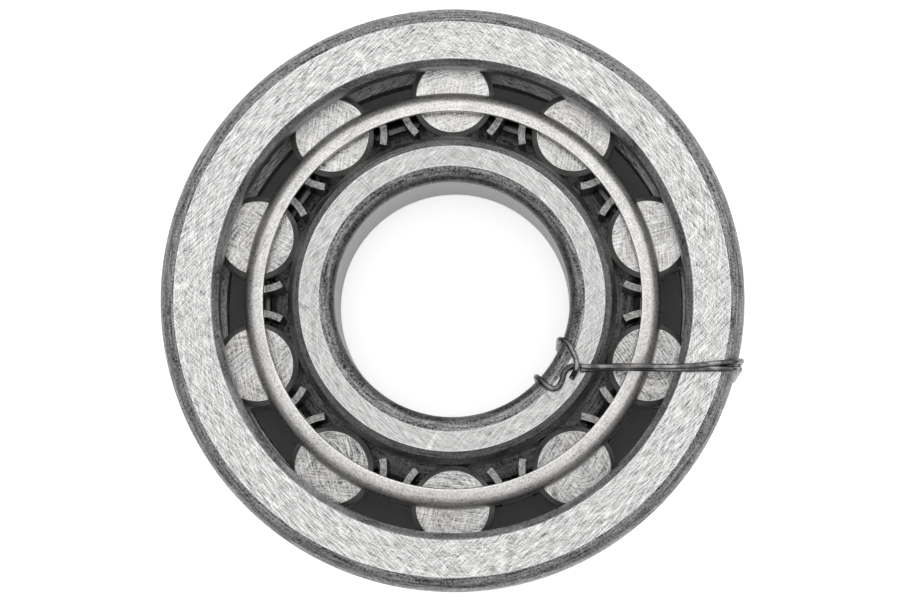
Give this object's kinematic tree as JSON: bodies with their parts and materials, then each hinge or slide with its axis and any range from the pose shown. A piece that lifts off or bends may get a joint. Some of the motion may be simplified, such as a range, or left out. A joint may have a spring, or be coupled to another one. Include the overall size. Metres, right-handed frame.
{
  "type": "cylindrical roller bearing",
  "caption": "Single-row cylindrical roller bearing: ribbed outer ring, inner ring with one back rib, short steel rollers in a one-piece pressed steel cage.",
  "frame": {"origin": "centre of the back face, on the bearing axis", "axes": "+Z along the bearing axis, from the back (the inner ring's ribbed side) to the front (its open side); +Y through one roller"},
  "size_m": [0.062, 0.062, 0.017],
  "materials": {
    "outer_ring_steel": "ground faces, hardened bearing steel",
    "inner_ring_steel": "ground faces, hardened bearing steel",
    "roller_steel": "ground ends, fine polished rolling surface",
    "cage_steel": "pressed sheet, satin"
  },
  "bodies": {
    "outer_ring": {"outer_ring": "outer_ring_steel"},
    "inner_ring": {"inner_ring": "inner_ring_steel"},
    "cage": {"cage": "cage_steel"},
    "roller_01": {"roller_01": "roller_steel"},
    "roller_02": {"roller_02": "roller_steel"},
    "roller_03": {"roller_03": "roller_steel"},
    "roller_04": {"roller_04": "roller_steel"},
    "roller_05": {"roller_05": "roller_steel"},
    "roller_06": {"roller_06": "roller_steel"},
    "roller_07": {"roller_07": "roller_steel"},
    "roller_08": {"roller_08": "roller_steel"},
    "roller_09": {"roller_09": "roller_steel"},
    "roller_10": {"roller_10": "roller_steel"}
  },
  "joints": [
    {"name": "inner_ring_spin", "type": "hinge", "parent": "outer_ring", "child": "inner_ring", "pos_m": [0, 0, 0.0085], "axis": [0, 0, 1], "continuous": true},
    {"name": "cage_spin", "type": "hinge", "parent": "outer_ring", "child": "cage", "pos_m": [0, 0, 0.0085], "axis": [0, 0, 1], "continuous": true},
    {"name": "roller_01_spin", "type": "hinge", "parent": "cage", "child": "roller_01", "pos_m": [0, 0.022, 0.0085], "axis": [0, 0, 1], "continuous": true},
    {"name": "roller_02_spin", "type": "hinge", "parent": "cage", "child": "roller_02", "pos_m": [-0.01293, 0.0178, 0.0085], "axis": [0, 0, 1], "continuous": true},
    {"name": "roller_03_spin", "type": "hinge", "parent": "cage", "child": "roller_03", "pos_m": [-0.02092, 0.0068, 0.0085], "axis": [0, 0, 1], "continuous": true},
    {"name": "roller_04_spin", "type": "hinge", "parent": "cage", "child": "roller_04", "pos_m": [-0.02092, -0.0068, 0.0085], "axis": [0, 0, 1], "continuous": true},
    {"name": "roller_05_spin", "type": "hinge", "parent": "cage", "child": "roller_05", "pos_m": [-0.01293, -0.0178, 0.0085], "axis": [0, 0, 1], "continuous": true},
    {"name": "roller_06_spin", "type": "hinge", "parent": "cage", "child": "roller_06", "pos_m": [0, -0.022, 0.0085], "axis": [0, 0, 1], "continuous": true},
    {"name": "roller_07_spin", "type": "hinge", "parent": "cage", "child": "roller_07", "pos_m": [0.01293, -0.0178, 0.0085], "axis": [0, 0, 1], "continuous": true},
    {"name": "roller_08_spin", "type": "hinge", "parent": "cage", "child": "roller_08", "pos_m": [0.02092, -0.0068, 0.0085], "axis": [0, 0, 1], "continuous": true},
    {"name": "roller_09_spin", "type": "hinge", "parent": "cage", "child": "roller_09", "pos_m": [0.02092, 0.0068, 0.0085], "axis": [0, 0, 1], "continuous": true},
    {"name": "roller_10_spin", "type": "hinge", "parent": "cage", "child": "roller_10", "pos_m": [0.01293, 0.0178, 0.0085], "axis": [0, 0, 1], "continuous": true}
  ],
  "couplings": [
    {"joint": "cage_spin", "follows": "inner_ring_spin", "ratio": 0.39773},
    {"joint": "roller_01_spin", "follows": "inner_ring_spin", "ratio": -2.3422},
    {"joint": "roller_02_spin", "follows": "inner_ring_spin", "ratio": -2.3422},
    {"joint": "roller_03_spin", "follows": "inner_ring_spin", "ratio": -2.3422},
    {"joint": "roller_04_spin", "follows": "inner_ring_spin", "ratio": -2.3422},
    {"joint": "roller_05_spin", "follows": "inner_ring_spin", "ratio": -2.3422},
    {"joint": "roller_06_spin", "follows": "inner_ring_spin", "ratio": -2.3422},
    {"joint": "roller_07_spin", "follows": "inner_ring_spin", "ratio": -2.3422},
    {"joint": "roller_08_spin", "follows": "inner_ring_spin", "ratio": -2.3422},
    {"joint": "roller_09_spin", "follows": "inner_ring_spin", "ratio": -2.3422},
    {"joint": "roller_10_spin", "follows": "inner_ring_spin", "ratio": -2.3422}
  ]
}
